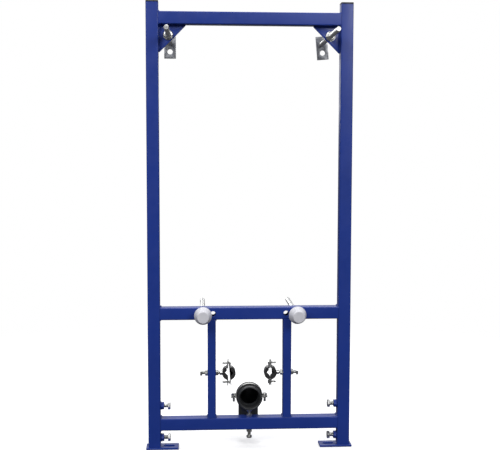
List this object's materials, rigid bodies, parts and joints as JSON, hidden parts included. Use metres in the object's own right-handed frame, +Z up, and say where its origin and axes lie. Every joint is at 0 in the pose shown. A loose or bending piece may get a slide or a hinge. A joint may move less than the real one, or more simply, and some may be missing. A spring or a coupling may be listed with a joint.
{
  "type": "bidet installation frame",
  "caption": "Blue welded tube frame on telescoping feet, with stud caps, pipe clamps, drain elbow and adjustable wall brackets, that carries a wall-hung bidet.",
  "frame": {"origin": "on the floor, on the centre line of the left post, at the underside of the left foot plate; left as seen from the room", "axes": "+X across the frame towards the right post, +Y from the room towards the wall, +Z up"},
  "size_m": [0.511, 0.325, 1.094],
  "materials": {
    "blue_paint": "satin blue powder coat",
    "zinc_steel": "bright zinc plating",
    "galvanised_plate": "dull galvanised",
    "black_plastic": "moulded, slightly glossy",
    "rubber": "matt",
    "white_plastic": "moulded, satin"
  },
  "bodies": {
    "left_foot": {"foot_plate_left": "blue_paint", "leg_tube_left": "blue_paint"},
    "frame": {"post_left": "blue_paint", "post_right": "blue_paint", "post_caps": "black_plastic", "top_bar": "blue_paint", "mid_bar": "blue_paint", "lower_bar": "blue_paint", "upright_left": "blue_paint", "upright_right": "blue_paint", "gusset_left": "blue_paint", "gusset_right": "blue_paint", "lock_bolts_left": "zinc_steel", "lock_bolts_right": "zinc_steel", "rod_nuts_left": "zinc_steel", "rod_nuts_right": "zinc_steel", "stud_left": "zinc_steel", "stud_right": "zinc_steel", "stud_nuts_left": "zinc_steel", "stud_nuts_right": "zinc_steel", "stud_cap_left": "white_plastic", "stud_cap_right": "white_plastic", "clamp_band_left": "zinc_steel", "clamp_band_right": "zinc_steel", "clamp_liner_left": "rubber", "clamp_liner_right": "rubber", "clamp_bolt_left": "zinc_steel", "clamp_bolt_right": "zinc_steel", "clamp_nuts_left": "zinc_steel", "clamp_nuts_right": "zinc_steel", "clamp_screws_left": "zinc_steel", "clamp_screws_right": "zinc_steel", "drain_elbow": "black_plastic", "drain_clamp_band": "zinc_steel", "drain_clamp_liner": "rubber", "drain_clamp_screws": "zinc_steel", "drain_bolt": "zinc_steel", "drain_nuts": "zinc_steel"},
    "right_foot": {"foot_plate_right": "blue_paint", "leg_tube_right": "blue_paint"},
    "left_wall_rod": {"wall_rod_left": "zinc_steel"},
    "right_wall_rod": {"wall_rod_right": "zinc_steel"},
    "left_wall_plate": {"wall_plate_left": "galvanised_plate"},
    "right_wall_plate": {"wall_plate_right": "galvanised_plate"}
  },
  "joints": [
    {"name": "left_leg_height", "type": "slide", "parent": "left_foot", "child": "frame", "axis": [0, 0, 1], "range_m": [0, 0.2]},
    {"name": "right_leg_height", "type": "slide", "parent": "frame", "child": "right_foot", "axis": [0, 0, -1], "range_m": [0, 0.2]},
    {"name": "left_rod_depth", "type": "slide", "parent": "frame", "child": "left_wall_rod", "axis": [0, 1, 0], "range_m": [-0.12, 0.1]},
    {"name": "right_rod_depth", "type": "slide", "parent": "frame", "child": "right_wall_rod", "axis": [0, 1, 0], "range_m": [-0.12, 0.1]},
    {"name": "left_plate_swivel", "type": "hinge", "parent": "left_wall_rod", "child": "left_wall_plate", "pos_m": [0.038, 0.159, 1.0145], "axis": [0, 1, 0], "range_deg": [-90, 90]},
    {"name": "right_plate_swivel", "type": "hinge", "parent": "right_wall_rod", "child": "right_wall_plate", "pos_m": [0.432, 0.159, 1.0145], "axis": [0, 1, 0], "range_deg": [-90, 90]}
  ]
}
